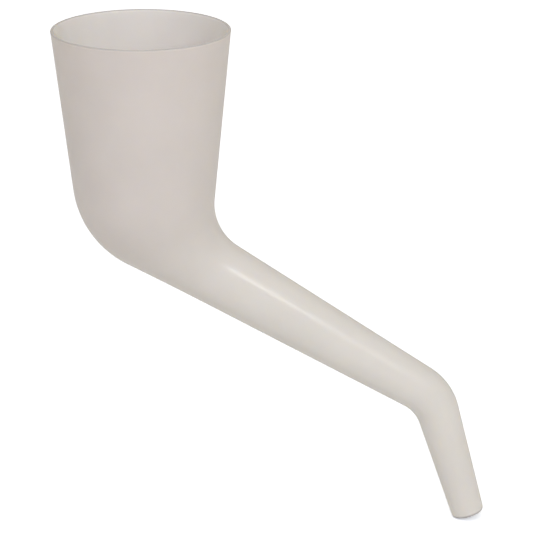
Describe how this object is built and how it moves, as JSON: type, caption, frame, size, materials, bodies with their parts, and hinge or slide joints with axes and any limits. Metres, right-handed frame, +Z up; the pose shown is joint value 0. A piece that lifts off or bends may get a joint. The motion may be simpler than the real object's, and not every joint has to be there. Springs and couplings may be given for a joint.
{
  "type": "urine director",
  "caption": "Open hand-held urine director: wide tapered cup, rounded elbow, long narrowing tube and turned-down tapered spout, moulded in one hollow piece",
  "frame": {"origin": "centre of the mouth's rim, in the plane of its upper edge", "axes": "+Z up out of the mouth as the part is held in use, +X from the cup towards the spout, +Y square to the plane of symmetry"},
  "size_m": [0.2088, 0.0848, 0.2472],
  "materials": {
    "polyethylene": "moulded translucent milky polyethylene with a satin skin"
  },
  "bodies": {
    "root": {"funnel_body": "polyethylene"}
  },
  "joints": []
}
